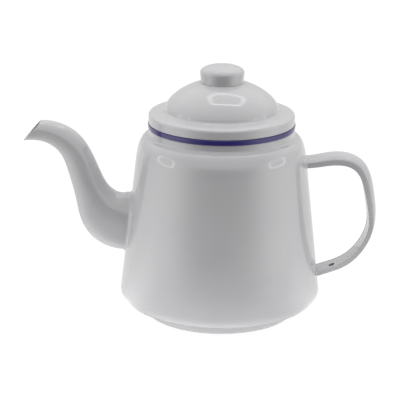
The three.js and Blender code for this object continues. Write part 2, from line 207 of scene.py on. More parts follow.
smoothStep = {"interpolation_type": "SMOOTHSTEP"}
inColour = {"data_type": "RGBA"}
multiply, add, greatest = {"operation": "MULTIPLY"}, {"operation": "ADD"}, {"operation": "MAXIMUM"}


def addNode(tree, kind, settings=None, **links):
    # a shader node of that kind. A link's key is an input's name or, after i, its number, and its value is a
    # constant, an output, or a node of which the first output is taken.
    node = tree.nodes.new("ShaderNode" + kind)
    for key, value in (settings or {}).items():
        setattr(node, key, value)
    for key, value in links.items():
        byNumber = key[0] == "i" and key[1:].isdigit()
        socket = node.inputs[int(key[1:]) if byNumber else key.replace("_", " ")]
        source = value.outputs[0] if isinstance(value, bpy.types.Node) else value
        if isinstance(source, bpy.types.NodeSocket):
            tree.links.new(source, socket)
        else:
            socket.default_value = source
    return node


def newMaterial(name):
    # an empty material, its tree and the place on the object
    material = bpy.data.materials.new(name)
    material.use_nodes = True
    tree = material.node_tree
    tree.nodes.clear()
    return material, tree, addNode(tree, "TexCoord").outputs["Object"]


enamelLook = {
    "whiteColour": "#C1C0C2",
    "thinColour": "#BDBDC0",  # where the cover coat ran thinner and the ground coat greys it
    "blueColour": "#2A206C",
    "blueThinColour": "#322876",
    "patchMm": 38.0,  # width of the thicker and thinner areas
    "thinFrom": 0.42, "thinTo": 0.72,  # levels of the noise between which the coat gets thin
    "orangePeelMm": 3.2,  # width of the ripples that a poured coat keeps
    "orangePeelDepthMm": 0.006,
    "sagMm": 24.0,  # width of the slow waves in the pressed sheet
    "sagDepthMm": 0.05,
    "roughness": 0.09, "roughnessShares": (0.8, 1.25),  # from the thicker to the thinner areas
    "glassIor": 1.5,
    "whiteCoat": 1.0, "blueCoat": 0.3, "coatRoughness": 0.04, "coatIor": 1.6,
}


def enamel(name, fullColour, thinColour, coat):
    # vitreous enamel: glass fused on steel. A white or blue cover coat with a wet gloss, ripples a few
    # millimetres wide, slow waves of the pressed sheet below and slightly thinner, greyer areas.
    look = enamelLook
    material, tree, place = newMaterial(name)
    patches = addNode(tree, "TexNoise", Vector=place, Scale=1 / (look["patchMm"] * mm), Detail=3.0,
                      Roughness=0.55)
    thin = addNode(tree, "MapRange", smoothStep, Value=patches, From_Min=look["thinFrom"],
                   From_Max=look["thinTo"])
    colour = addNode(tree, "Mix", inColour, i0=thin, i6=linear(fullColour), i7=linear(thinColour))
    low, high = (look["roughness"] * share for share in look["roughnessShares"])
    gloss = addNode(tree, "MapRange", Value=patches, To_Min=low, To_Max=high)
    waves = addNode(tree, "TexNoise", Vector=place, Scale=1 / (look["sagMm"] * mm), Detail=0.0)
    slow = addNode(tree, "Bump", Height=waves, Strength=1.0, Distance=look["sagDepthMm"] * mm)
    peel = addNode(tree, "TexNoise", Vector=place, Scale=1 / (look["orangePeelMm"] * mm), Detail=1.5)
    fine = addNode(tree, "Bump", Height=peel, Strength=1.0, Distance=look["orangePeelDepthMm"] * mm,
                   Normal=slow)
    shader = addNode(tree, "BsdfPrincipled", Base_Color=colour.outputs[2], Roughness=gloss,
                     IOR=look["glassIor"], Coat_Weight=coat, Coat_Roughness=look["coatRoughness"],
                     Coat_IOR=look["coatIor"], Normal=fine, Coat_Normal=fine)
    addNode(tree, "OutputMaterial", Surface=shader)
    return material


whiteEnamel = enamel("whiteEnamel", enamelLook["whiteColour"], enamelLook["thinColour"],
                     enamelLook["whiteCoat"])
blueEnamel = enamel("blueEnamel", enamelLook["blueColour"], enamelLook["blueThinColour"],
                    enamelLook["blueCoat"])


edgeLook = {
    "steelColour": "#5B5C60", "enamelColour": "#B9BABC", "chipMm": 2.4, "chipDepthMm": 0.15,
    "enamelFrom": 0.5, "enamelTo": 0.62, "roughness": 0.42,
}


def bareEdge():
    # the cut lip of the spout, where the enamel draws back from the edge in firing and dark steel shows
    look = edgeLook
    material, tree, place = newMaterial("bareSteelEdge")
    chips = addNode(tree, "TexNoise", Vector=place, Scale=1 / (look["chipMm"] * mm), Detail=3.0)
    covered = addNode(tree, "MapRange", smoothStep, Value=chips, From_Min=look["enamelFrom"],
                      From_Max=look["enamelTo"])
    colour = addNode(tree, "Mix", inColour, i0=covered, i6=linear(look["steelColour"]),
                     i7=linear(look["enamelColour"]))
    bump = addNode(tree, "Bump", Height=chips, Strength=1.0, Distance=look["chipDepthMm"] * mm)
    shader = addNode(tree, "BsdfPrincipled", Base_Color=colour.outputs[2], Roughness=look["roughness"],
                     Normal=bump)
    addNode(tree, "OutputMaterial", Surface=shader)
    return material


steelEdge = bareEdge()
print("materials made")


# Pot: turned-down edge, underside, wall, shoulder and neck, in mm

pot = {
    "footRadius": 52.6, "footHeight": 4.9, "flangeLap": 3.6, "flangeRounding": 0.5, "seatGap": 0.3,
    "wallFootRadius": 71.1, "wallFootHeight": 11.0, "wallFootRounding": 8.0,
    "shoulderRadius": 59.6, "shoulderHeight": 111.7, "shoulderRise": 16.2,
    "uprightShare": 0.58, "levelShare": 0.52, "neckShare": 0.3, "neckPull": 0.6, "neckLift": 0.2,
    "neckRadius": 50.4, "neckRounding": 2.3, "neckHeight": 5.9, "rimLap": 0.05,
    "segments": 288, "spacing": 4.0,
}
neckFoot = pot["shoulderHeight"] + pot["shoulderRise"]
rimBottom = neckFoot + pot["neckHeight"]


def undersideAt(radius):
    # height of the sloping underside between the foot and the wall
    share = (radius - pot["footRadius"]) / (pot["wallFootRadius"] - pot["footRadius"])
    low = pot["footHeight"] + pot["seatGap"]
    return low + (pot["wallFootHeight"] - low) * share


def potLine():
    flange = pot["footRadius"] - sheet - pot["seatGap"]
    flangeTop = undersideAt(flange)
    lower = roundedLine([
        [flange, flangeTop - pot["flangeLap"]],
        [flange, flangeTop, pot["flangeRounding"]],
        [pot["wallFootRadius"], pot["wallFootHeight"], pot["wallFootRounding"]],
        [pot["shoulderRadius"], pot["shoulderHeight"]],
    ], steps=20)
    lean = (pot["wallFootRadius"] - pot["shoulderRadius"]) / (pot["shoulderHeight"] - pot["wallFootHeight"])
    end = pot["neckRadius"] + pot["neckRounding"]
    rise = pot["shoulderRise"] * pot["uprightShare"]
    run = (pot["shoulderRadius"] - end) * pot["levelShare"]
    soft = pot["neckRounding"] * pot["neckShare"]
    shoulder = bezier(
        (pot["shoulderRadius"], pot["shoulderHeight"]),
        (pot["shoulderRadius"] - lean * rise, pot["shoulderHeight"] + rise),
        (end + run, neckFoot - soft),
        (end, neckFoot),
        steps=36,
    )
    neck = bezier(
        (end, neckFoot),
        (end - pot["neckRounding"] * pot["neckPull"], neckFoot + soft * pot["neckPull"]),
        (pot["neckRadius"], neckFoot + soft + pot["neckLift"]),
        (pot["neckRadius"], neckFoot + pot["neckRounding"]),
        steps=12,
    )
    top = [[pot["neckRadius"], rimBottom + pot["rimLap"]]]
    return dense(np.vstack([lower, shoulder[1:], neck[1:], top]), pot["spacing"])


potSkin = potLine()
wallPart = potSkin[np.argmax(potSkin[:, 0]) :]  # from the widest place upwards, where height only grows


def potRadiusAt(height):
    return np.interp(height, wallPart[:, 1], wallPart[:, 0])


# Spout: a tube along a curve, in two pressed halves. Each row is the middle line's place, as shares of
# how far it stands out and rises, then the half height and half width as shares of those at the root.

spout = {
    "rootHeight": 64.9, "out": 77.4, "rise": 65.2, "rootHalfHeight": 21.0, "rootHalfWidth": 12.2,
    "lipSlope": 0.857, "lipHeight": 124.0, "fillet": 2.2, "sink": 0.12, "seamRise": 0.07, "seamWidth": 0.9,
    "around": 72, "along": 150, "crowding": 0.7, "pathSteps": 600, "edgeDepth": 0.02,
    "rows": [
        [-0.06, 0, 1, 1], [0.084, 0, 1, 1], [0.174, 0.022, 1, 1], [0.257, 0.08, 0.94, 1],
        [0.326, 0.167, 0.8, 0.985], [0.379, 0.274, 0.646, 0.96], [0.421, 0.39, 0.554, 0.925],
        [0.486, 0.604, 0.498, 0.86], [0.541, 0.759, 0.466, 0.8], [0.614, 0.877, 0.442, 0.742],
        [0.717, 0.96, 0.403, 0.675], [0.851, 1, 0.35, 0.57], [1.012, 0.982, 0.278, 0.45],
        [1.06, 0.97, 0.266, 0.43],
    ],
}
lipPlace = np.array([-(pot["shoulderRadius"] + spout["out"]), 0, spout["lipHeight"]])
mouthNormal = np.array([math.sin(spout["lipSlope"]), 0, -math.cos(spout["lipSlope"])])


def spoutPath():
    share = np.array(spout["rows"])
    rows = np.stack([
        -(pot["shoulderRadius"] + spout["out"] * share[:, 0]),
        spout["rootHeight"] + spout["rise"] * share[:, 1],
        spout["rootHalfHeight"] * share[:, 2],
        spout["rootHalfWidth"] * share[:, 3],
    ], axis=1)
    return smoothPath(rows, spout["pathSteps"])


def pathNormals(line):
    # unit left-hand normals of a line in the XZ plane
    along = np.gradient(line[:, :2], axis=0)
    along /= np.linalg.norm(along, axis=1)[:, None]
    return np.stack([-along[:, 1], along[:, 0]], axis=1)


def alongNormals(line, across, rise):
    # an outline at every place of the line, x across and y along the normal
    normal = pathNormals(line)
    x, z = line[:, :1] + normal[:, :1] * rise, line[:, 1:2] + normal[:, 1:] * rise
    return np.stack([x, across + 0 * rise, z], axis=2)


def crossing(values):
    # place along each column, as a fractional row, where values first fall through zero
    rows = np.maximum(np.argmax(values <= 0, axis=0), 1)
    columns = np.arange(values.shape[1])
    before, after = values[rows - 1, columns], values[rows, columns]
    return rows - 1 + before / (before - after)


def resampled(points, first, last, shares):
    # each column of a grid run again at shares of the way between two fractional rows of its own
    place = first[None, :] + np.asarray(shares)[:, None] * (last - first)[None, :]
    low = np.clip(np.floor(place).astype(int), 0, len(points) - 2)
    part = (place - low)[:, :, None]
    columns = np.arange(points.shape[1])[None, :]
    return points[low, columns] * (1 - part) + points[low + 1, columns] * part


def outsideWall(points):
    # how far each point stands out from the pot's wall, level
    return np.hypot(points[..., 0], points[..., 1]) - potRadiusAt(points[..., 2])


def flaredAtWall(grid, radius, side):
    # quarter-circle widening of a grid's rows where they meet the wall: r - sqrt(r^2 - (r - d)^2) at a level
    # distance d from it, with d kept, so that the widened rows stay on the wall. side is the sign of x.
    gap = side * grid[..., 0] - np.sqrt(potRadiusAt(grid[..., 2]) ** 2 - grid[..., 1] ** 2)
    near = np.clip(gap, 0, radius)
    flare = radius - np.sqrt(np.maximum(radius**2 - (radius - near) ** 2, 0))
    outward = grid - grid.mean(axis=1, keepdims=True)
    outward[..., 0] = 0
    outward /= np.maximum(np.linalg.norm(outward, axis=2), 1e-9)[:, :, None]
    moved = grid + outward * flare[:, :, None]
    moved[..., 0] = side * (np.sqrt(potRadiusAt(moved[..., 2]) ** 2 - moved[..., 1] ** 2) + gap)
    return np.where((flare > 0)[:, :, None], moved, grid)


def spoutSkin(thickness, sideSign):
    # oval sections, half width * cos a across and half height * sin a along the normal, run from where each
    # line meets the wall to where it meets the mouth's plane; a low ridge of enamel follows the seam
    line = spoutPath()
    angle = np.linspace(-np.pi / 2, np.pi / 2, spout["around"] // 2 + 1)
    seam = np.exp(-((np.pi / 2 - np.abs(angle)) * spout["rootHalfHeight"] / (4 * spout["seamWidth"])) ** 2)
    grow = (spout["seamRise"] * seam if thickness == 0 else 0 * seam) - thickness
    halfHeight, halfWidth = line[:, 2:3] + grow, line[:, 3:4] + grow
    points = alongNormals(line, sideSign * halfWidth * np.cos(angle), halfHeight * np.sin(angle))
    first = crossing(-(outsideWall(points) + spout["sink"]))
    last = crossing((points - lipPlace) @ mouthNormal)
    place = np.linspace(0, 1, spout["along"])
    grid = resampled(points, first, last, spout["crowding"] * place**2 + (1 - spout["crowding"]) * place)
    if thickness == 0:
        both = np.concatenate([grid, grid[:, ::-1] * [1, -1, 1]], axis=1)
        grid = flaredAtWall(both, spout["fillet"], -1)[:, : grid.shape[1]]
    return grid


def spoutHalf(name, sideSign, node):
    outer, inner = spoutSkin(0, sideSign), spoutSkin(sheet, sideSign)
    ring = np.concatenate([outer, inner[:, ::-1]], axis=1)
    rows, columns = ring.shape[:2]
    faces = gridFaces(rows, columns, False, True)
    across = np.arange(outer.shape[1] - 1)
    ends = []
    for start in (0, (rows - 1) * columns):
        opposite = start + columns - 1 - across
        ends.append(np.stack([start + across, start + across + 1, opposite - 1, opposite], axis=1))
    piece = meshObject(name, ring.reshape(-1, 3), [faces, *ends], whiteEnamel, "pot", "white_enamel", node)
    # the faces that lie on the mouth's plane are the cut edge
    piece.data.materials.append(steelEdge)
    centres = np.zeros(len(piece.data.polygons) * 3)
    piece.data.polygons.foreach_get("center", centres)
    depth = (centres.reshape(-1, 3) - (lipPlace * mm + potAxis)) @ mouthNormal
    onMouth = np.abs(depth) < spout["edgeDepth"] * mm
    piece.data.polygons.foreach_set("material_index", onMouth.astype(np.int32))


# Handle: a channel with a crowned back, closed on the inside by a nearly flat strip with a vent hole.
# Each row is the middle line's place, as shares of how far it stands out and drops, then the thickness.

handle = {
    "out": 46.8, "topRise": 1.05, "drop": 86.75, "width": 17.6, "thickness": 7.7, "edgeRounding": 0.6,
    "crownRise": 3.9, "leastWall": 2.8, "crownSlope": 0.8, "channelFoot": 0.3, "channelLeast": 0.4,
    "innerCrown": 0.2, "stripInset": 0.45, "stripTurn": 0.35, "stripTurnShare": 0.1,
    "ventRadius": 2.3, "ventFromWall": 11.2, "ventAcross": -0.25, "ventDepth": 3.0,
    "fillet": 1.0, "sink": 0.12, "along": 260, "crowding": 0.115, "pathSteps": 900,
    "rows": [
        [-0.12, 0.032, 0.88], [0.06, 0.028, 0.88], [0.22, 0.015, 0.92], [0.417, 0, 0.98], [0.614, 0.009, 1],
        [0.745, 0.041, 1], [0.839, 0.093, 0.99], [0.91, 0.176, 0.93], [0.957, 0.281, 0.865], [1, 0.425, 0.77],
        [0.999, 0.568, 0.61], [0.92, 0.697, 0.54], [0.769, 0.814, 0.53], [0.578, 0.894, 0.53],
        [0.353, 0.943, 0.53], [0.143, 0.98, 0.53], [0.003, 1, 0.53],
    ],
}


def handlePath():
    share = np.array(handle["rows"])
    rows = np.stack([
        pot["shoulderRadius"] + handle["out"] * share[:, 0],
        pot["shoulderHeight"] + handle["topRise"] - handle["drop"] * share[:, 1],
        handle["thickness"] / 2 * share[:, 2],
    ], axis=1)
    return smoothPath(rows, handle["pathSteps"])


def handleGrid(outlineFor):
    # an outline that grows evenly with the half thickness, carried along the handle between its two crossings
    # of the wall, with more sections close to the wall
    line = handlePath()
    thinHalf, thickHalf = 2.0, 4.0
    thin, thick = outlineFor(thinHalf), outlineFor(thickHalf)
    growth = (line[:, 2:3] - thinHalf) / (thickHalf - thinHalf)
    points = alongNormals(line, thin[:, 0], thin[:, 1] + (thick - thin)[:, 1] * growth)
    clear = outsideWall(points) + handle["sink"]
    first = crossing(-clear)
    last = len(line) - 1 - crossing(-clear[::-1])
    place = np.linspace(0, 1, handle["along"])
    return resampled(points, first, last, place - handle["crowding"] * np.sin(2 * np.pi * place))


def handlePiece(name, grid, node):
    # closes a carried outline with a face at each end
    rows, columns = grid.shape[:2]
    faces = gridFaces(rows, columns, False, True)
    ends = np.stack([np.arange(columns), (rows - 1) * columns + np.arange(columns)[::-1]])
    return meshObject(name, grid.reshape(-1, 3), [faces, ends], whiteEnamel, "pot", "white_enamel", node)


def withMirror(side):
    # a half outline that ends on the middle, and its mirror image run back
    return np.vstack([side, (side * [-1, 1])[::-1][1:]])


def handleBackOutline(half):
    # crowned back, height = rise * (1 - across^2)^slope, and two side walls that are rounded over towards the
    # strip; the crown is lower where the handle is thinner
    wide, turn = handle["width"] / 2, handle["edgeRounding"]
    rise = min(handle["crownRise"], 2 * half - handle["leastWall"])
    angle = np.linspace(0, np.pi / 2, 21)
    height = half - rise + rise * np.sin(angle) ** (2 * handle["crownSlope"])
    crown = np.stack([wide * np.cos(angle), height], axis=1)
    angle = np.linspace(-np.pi / 2, 0, 6)
    end = np.stack([wide - turn + turn * np.cos(angle), turn - half + turn * np.sin(angle)], axis=1)
    inner = crown * [(wide - sheet) / wide, 1] - [0, sheet]
    inner[:, 1] = np.maximum(inner[:, 1], handle["channelLeast"] - half)
    inner = np.vstack([[[wide - sheet, handle["channelFoot"] - half]], inner])
    return np.vstack([withMirror(np.vstack([end, crown])), withMirror(inner)[::-1]])


def handleStripOutline(half):
    # sheet between the two side walls, bowed a little towards the fingers and turned up at its edges
    across = np.linspace(-1, 1, 25)
    wide = handle["width"] / 2 - handle["stripInset"]
    bow = handle["innerCrown"] * (1 - across**2)
    atEdge = np.clip((np.abs(across) - 1 + handle["stripTurnShare"]) / handle["stripTurnShare"], 0, 1)
    height = handle["innerCrown"] - half - bow + handle["stripTurn"] * atEdge**2
    skin = np.stack([wide * across, height], axis=1)
    return np.vstack([skin, (skin + [0, sheet])[::-1]])


def ventCutter():
    # a round plug through the strip, at a distance from the pot's wall
    line = handlePath()
    wall = np.stack([line[:, 0], 0 * line[:, 0], line[:, 1]], axis=1)
    place = len(line) - 1 - np.argmax(outsideWall(wall)[::-1] > handle["ventFromWall"])
    normal = pathNormals(line)[place]
    centre = line[place, :2] + normal * (sheet / 2 - line[place, 2])
    across = handle["width"] / 2 * handle["ventAcross"]
    return plug("ventCutter", np.array([centre[0], across, centre[1]]), np.array([normal[0], 0, normal[1]]),
                handle["ventRadius"], handle["ventDepth"])


def plug(name, centre, direction, radius, length, sides=28):
    # closed cylinder along a direction in the XZ plane, used only to cut a hole. No corner of it lies in the
    # middle plane, where the shell has an edge.
    side = np.cross(direction, [0, 1, 0])
    side /= np.linalg.norm(side)
    other = np.cross(direction, side)
    angle = (np.arange(sides)[:, None] + 0.5) * 2 * np.pi / sides
    ring = radius * (np.cos(angle) * side + np.sin(angle) * other)
    points = np.concatenate([centre + ring - direction * length / 2, centre + ring + direction * length / 2])
    here = np.arange(sides)
    following = np.roll(here, -1)
    walls = np.stack([here, following, following + sides, here + sides], axis=1)
    data = bpy.data.meshes.new(name)
    data.from_pydata((points * mm + potAxis).tolist(), [],
                     [*walls.tolist(), here[::-1].tolist(), (here + sides).tolist()])
    cutter = bpy.data.objects.new(name, data)
    bpy.context.scene.collection.objects.link(cutter)
    return cutter


def cutHoles(piece, cutters):
    # takes the cutters away from the piece and keeps the result as plain mesh
    for cutter in cutters:
        modifier = piece.modifiers.new(cutter.name, "BOOLEAN")
        modifier.operation, modifier.solver, modifier.object = "DIFFERENCE", "EXACT", cutter
    graph = bpy.context.evaluated_depsgraph_get()
    result = bpy.data.meshes.new_from_object(piece.evaluated_get(graph), depsgraph=graph)
    piece.modifiers.clear()
    piece.data = result
    result.name = piece.name
    result.set_sharp_from_angle(angle=sharpAngle)
    for cutter in cutters:
        bpy.data.objects.remove(cutter)


# Strainer: staggered round holes through the wall behind the spout

strainer = {"holeRadius": 2.0, "pitch": 6.6, "margin": 1.6, "depth": 10.0}


def strainerCutters():
    solid = sheet + strainer["holeRadius"] + strainer["margin"]
    halfHeight, halfWidth = spout["rootHalfHeight"] - solid, spout["rootHalfWidth"] - solid
    rowPitch = strainer["pitch"] * math.sin(math.pi / 3)
    rows = int(halfHeight / rowPitch)
    columns = int(halfWidth / strainer["pitch"]) + 1
    cutters = []
    for row in range(-rows, rows + 1):
        for column in range(-columns, columns + 1):
            across = (column + (0.5 if row % 2 else 0)) * strainer["pitch"]
            rise = row * rowPitch
            if (across / halfWidth) ** 2 + (rise / halfHeight) ** 2 > 1:
                continue
            height = spout["rootHeight"] + rise
            wall = math.sqrt(potRadiusAt(height) ** 2 - across**2)
            centre = np.array([sheet / 2 - wall, across, height])
            cutters.append(plug(f"strainerCutter{len(cutters)}", centre, np.array([1.0, 0, 0]),
                                strainer["holeRadius"], strainer["depth"]))
    return cutters


potShell = meshObject("potShell", *revolve(sheetOutline(potSkin, sheet), pot["segments"]), whiteEnamel,
                      "pot", "white_enamel", "body_shell")
cutHoles(potShell, strainerCutters())
print("pot shell made:", len(potShell.data.polygons), "faces")

spoutHalf("spoutNearHalf", -1, "spout_near_half")
spoutHalf("spoutFarHalf", 1, "spout_far_half")
print("spout made")

handlePiece("handleBack", flaredAtWall(handleGrid(handleBackOutline), handle["fillet"], 1), "handle_outer")
handleStrip = handlePiece("handleStrip", handleGrid(handleStripOutline), "handle_inner")
cutHoles(handleStrip, [ventCutter()])
print("handle made")


# Base plate: a pressed dish with a raised middle, a ring to stand on and the foot's upright wall

base = {
    "standRingWidth": 6.0, "raise": 3.0, "slopeWidth": 4.0,
    "rounding": 2.0, "footRounding": 0.7, "seamGap": 0.12,
}


def basePlate():
    inner = pot["footRadius"] - base["standRingWidth"]
    skin = roundedLine([
        [0, base["raise"]],
        [inner - base["slopeWidth"], base["raise"], base["rounding"]],
        [inner, 0, base["rounding"]],
        [pot["footRadius"], 0, base["footRounding"]],
        [pot["footRadius"], undersideAt(pot["footRadius"]) - base["seamGap"]],
    ], steps=8)
    outline = sheetOutline(dense(skin, pot["spacing"]), sheet)
    meshObject("basePlate", *revolve(outline, pot["segments"]), whiteEnamel,
               "pot", "white_enamel", "base_plate")


# Rim: the mouth's edge rolled outwards and pressed back against itself, in blue enamel

rim = {"width": 1.95, "height": 3.6, "tuck": 0.2, "rounding": 0.55, "footRounding": 0.5}
rimTop = rimBottom + rim["height"]
lidBottom = rimTop + pot["seatGap"]


def rolledRim():
    inner = pot["neckRadius"] - sheet
    outer = inner + rim["width"]
    outline = roundedLine([
        [inner, rimBottom],
        [inner, rimTop, rim["rounding"]],
        [outer, rimTop, rim["rounding"]],
        [outer - rim["tuck"], rimBottom, rim["footRounding"]],
        [outer - sheet, rimBottom],
    ], steps=10)
    meshObject("rolledRim", *revolve(outline, pot["segments"]), blueEnamel, "pot", "blue_enamel", "rim_bead")


# Lid: upright edge, brim, dome and the knob's seat, with a collar that hangs into the mouth

lid = {
    "radius": 50.9, "brimHeight": 6.5, "brimFall": 1.5, "brimRounding": 2.1,
    "domeFootRadius": 40.0, "domeFootRounding": 2.5, "domeHeight": 22.6, "domePower": 1.14,
    "play": 0.8, "collarDepth": 7.0, "collarFlange": 6.0, "spacing": 3.0,
    "seatLip": 0.9, "seatRounding": 0.6, "seatRun": 2.0,
}
knob = {
    "radius": 15.4, "rimRadius": 14.7, "side": 6.6, "crown": 5.5, "power": 0.92,
    "seamGap": 0.05, "segments": 144, "spacing": 1.2,
}
brimTop = lidBottom + lid["brimHeight"]
domeFoot = brimTop + lid["brimFall"]


def lidLine():
    # edge, brim and dome; the fillet at the dome's foot ends below the dome's point that it aims at
    domeEdge, domeTop = (lid["domeFootRadius"], domeFoot), domeFoot + lid["domeHeight"]
    dome = crownArc(domeEdge, domeTop, lid["domePower"], 60, knob["rimRadius"] + lid["seatLip"])
    aim = 8
    brim = roundedLine([
        [lid["radius"], lidBottom],
        [lid["radius"], brimTop, lid["brimRounding"]],
        [lid["domeFootRadius"], domeFoot, lid["domeFootRounding"]],
        list(dome[aim]),
    ], steps=14)
    return np.vstack([brim, dome[aim + 1 :]])


def lidShell():
    # the lid with its flat seat for the knob, whose height is given back
    skin = lidLine()
    edge, height = skin[-1]
    seat = roundedLine([
        list(skin[-2]),
        [edge, height, lid["seatRounding"]],
        [edge - lid["seatRun"], height],
        [0, height],
    ], steps=6)
    outline = sheetOutline(dense(np.vstack([skin[:-2], seat]), lid["spacing"]), sheet)
    meshObject("lidShell", *revolve(outline, pot["segments"]), whiteEnamel, "lid", "white_enamel", "lid_shell")
    return height


def lidCollar():
    # band that hangs into the mouth, with a flange that lies under the brim and rises with it
    slope = math.atan2(lid["brimFall"], lid["radius"] - lid["domeFootRadius"])
    radius = pot["neckRadius"] - sheet - lid["play"]
    below = (sheet + pot["seatGap"]) / math.cos(slope)
    ends = [(r, brimTop + (lid["radius"] - r) * math.tan(slope) - below)
            for r in (radius, radius - lid["collarFlange"])]
    skin = roundedLine([
        [radius, lidBottom - lid["collarDepth"]],
        [*ends[0], lid["brimRounding"] / 2],
        list(ends[1]),
    ], steps=10)
    outline = sheetOutline(dense(skin, lid["spacing"]), sheet)
    meshObject("lidCollar", *revolve(outline, pot["segments"]), whiteEnamel,
               "lid", "white_enamel", "lid_collar")


def knobCap(seatHeight):
    # upright side, a little wider at the top, under a low crown; the enamel's fillet closes its foot
    sideTop = seatHeight + pot["seatGap"] + knob["side"]
    crown = crownArc((knob["radius"], sideTop), sideTop + knob["crown"], knob["power"], 26)
    skin = np.vstack([[[knob["rimRadius"], seatHeight + knob["seamGap"]]], crown])
    outline = sheetOutline(dense(skin, knob["spacing"]), sheet)
    meshObject("knobCap", *revolve(outline, knob["segments"]), whiteEnamel, "lid", "white_enamel", "knob_cap")


basePlate()
rolledRim()
knobSeat = lidShell()
lidCollar()
knobCap(knobSeat)
print("base, rim, lid and knob made")


# Studio: white paper under the pot that falls off to the dark where the camera stands, and a pale tent with
# a broad soft lamp at each side. What shines sees the tent, the opening for the camera and the lamps' frames.

studio = {
    "floorSize": 6.0, "floorDropMm": 0.02, "floorAlbedo": "#D4D4D4", "floorShown": 0.94, "floorShade": 0.08,
    # the paper's own light, and how much of it the gloss sees close to the pot, where the paper is darkened as
    # a painted shadow of the pot; distances in metres
    "tableNear": 1.3, "tableFar": 0.05, "tableFrom": 0.06, "tableTo": 0.16,
    "underPot": 0.25, "clearOfPot": 0.5, "clearFrom": -0.1, "clearTo": 0.7,
    # the opening for the camera, by distance on the paper, by cosine from the front and by degrees above it
    "openingNear": 0.09, "openingFar": 0.36, "openingEdge": 0.42, "openingCore": 1.05,
    "openingLow": 6.0, "openingHigh": 20.0,
    # the light, turning from the front to the side and on to the back by cosine, and up by degrees
    "lightFront": 0.05, "lightSide": 1.55, "lightBack": 1.0, "lightTop": 1.4,
    "turnFrom": 0.15, "turnTo": 0.85, "lightFrom": 10.0, "lightTo": 60.0,
    # what the gloss sees of the tent
    "glossSide": 1.2, "glossBehind": 0.62, "paperBehind": 0.66, "glossTop": 0.8,
    "sideCosine": 0.25, "behindCosine": -0.45, "glossFrom": 5.0, "glossTo": 25.0, "backRise": 0.25,
}
# frames of light seen in the gloss: centre and half size in the direction's own units, edge's share, strength
lampFrames = {
    "overhead": {"centre": (0.084, 0.235), "half": (0.325, 0.24), "edge": 0.17,
                 "strength": 2.2, "farShare": 0.45},
    "side": {"centre": (0.135, 0.17), "half": (0.255, 0.13), "edge": 0.16,
             "strength": 1.1, "farShare": 1.0},
}
frameSoftness, frameSquareness = 0.1, 4.0


def seenAsBackground(tree):
    # 1 for camera rays, and 1 for rays that see the backdrop as it is: those, reflections and through glass
    path = addNode(tree, "LightPath").outputs
    seen = addNode(tree, "Math", greatest, i0=path["Is Camera Ray"], i1=path["Is Glossy Ray"])
    seen = addNode(tree, "Math", greatest, i0=seen, i1=path["Is Transmission Ray"])
    return path["Is Camera Ray"], seen


def openingAndTent(tree, front, behind):
    # by the cosine from the front: how far a direction lies in the opening, and the gloss's level round it
    opening = addNode(tree, "MapRange", smoothStep, Value=front, From_Min=studio["openingEdge"],
                      From_Max=studio["openingCore"])
    around = addNode(tree, "MapRange", smoothStep, Value=front, From_Min=studio["sideCosine"],
                     From_Max=studio["behindCosine"], To_Min=studio["glossSide"], To_Max=behind)
    return opening, around


def frontAndLength(tree, x, y):
    # of a place or direction seen from above: the cosine of its angle from the front, and its length
    flat = addNode(tree, "CombineXYZ", X=x, Y=y)
    level = addNode(tree, "VectorMath", {"operation": "NORMALIZE"}, i0=flat)
    front = addNode(tree, "VectorMath", {"operation": "DOT_PRODUCT"}, i0=level, i1=(0, -1, 0))
    length = addNode(tree, "VectorMath", {"operation": "LENGTH"}, i0=flat)
    return front.outputs["Value"], length.outputs["Value"]


def makeFloor():
    size = studio["floorSize"] / 2
    data = bpy.data.meshes.new("floor")
    corners = [(-size, -size), (size, -size), (size, size), (-size, size)]
    data.from_pydata([(x, y, -studio["floorDropMm"] * mm) for x, y in corners], [], [(0, 1, 2, 3)])
    floor = bpy.data.objects.new("floor", data)
    bpy.context.scene.collection.objects.link(floor)
    material, tree, place = newMaterial("whitePaper")
    axes = addNode(tree, "SeparateXYZ", Vector=place).outputs
    front, away = frontAndLength(tree, axes["X"], axes["Y"])
    opening, tent = openingAndTent(tree, front, studio["paperBehind"])
    camera, seen = seenAsBackground(tree)
    far = addNode(tree, "MapRange", smoothStep, Value=away, From_Min=studio["openingNear"],
                  From_Max=studio["openingFar"])
    dark = addNode(tree, "Math", multiply, i0=opening, i1=far)
    kept = addNode(tree, "Math", {"operation": "SUBTRACT"}, i0=1.0, i1=dark)
    # the paper's own light is strong under the pot. On the camera's side the gloss sees the paper darker close
    # to the pot: a painted shadow of the pot, seen only in the gloss
    table = addNode(tree, "MapRange", smoothStep, Value=away, From_Min=studio["tableFrom"],
                    From_Max=studio["tableTo"], To_Min=studio["tableNear"], To_Max=studio["tableFar"])
    # painted shadow: the paper's strength for the gloss, lowered close to the pot on the camera's side
    clear = addNode(tree, "MapRange", smoothStep, Value=away, From_Min=studio["tableFrom"],
                    From_Max=studio["clearOfPot"], To_Min=studio["underPot"])
    toFront = addNode(tree, "MapRange", smoothStep, Value=front, From_Min=studio["clearFrom"],
                      From_Max=studio["clearTo"])
    clear = addNode(tree, "Mix", i0=toFront, i2=1.0, i3=clear)
    tent = addNode(tree, "Math", multiply, i0=tent, i1=clear)
    strength = addNode(tree, "Mix", i0=seen, i2=table, i3=tent)
    strength = addNode(tree, "Math", multiply, i0=strength, i1=kept)
    strength = addNode(tree, "Mix", i0=camera, i2=strength, i3=studio["floorShown"])
    glow = addNode(tree, "Emission", Color=(1, 1, 1, 1), Strength=strength)
    colour = addNode(tree, "Mix", inColour, i0=kept, i6=(0, 0, 0, 1), i7=linear(studio["floorAlbedo"]))
    paper = addNode(tree, "BsdfDiffuse", Color=colour.outputs[2])
    shade = addNode(tree, "BsdfDiffuse", Color=(*[studio["floorShade"]] * 3, 1))
    lit = addNode(tree, "MixShader", Fac=seen, i1=paper, i2=shade)
    both = addNode(tree, "AddShader", i0=lit, i1=glow)
    addNode(tree, "OutputMaterial", Surface=both)
    data.materials.append(material)


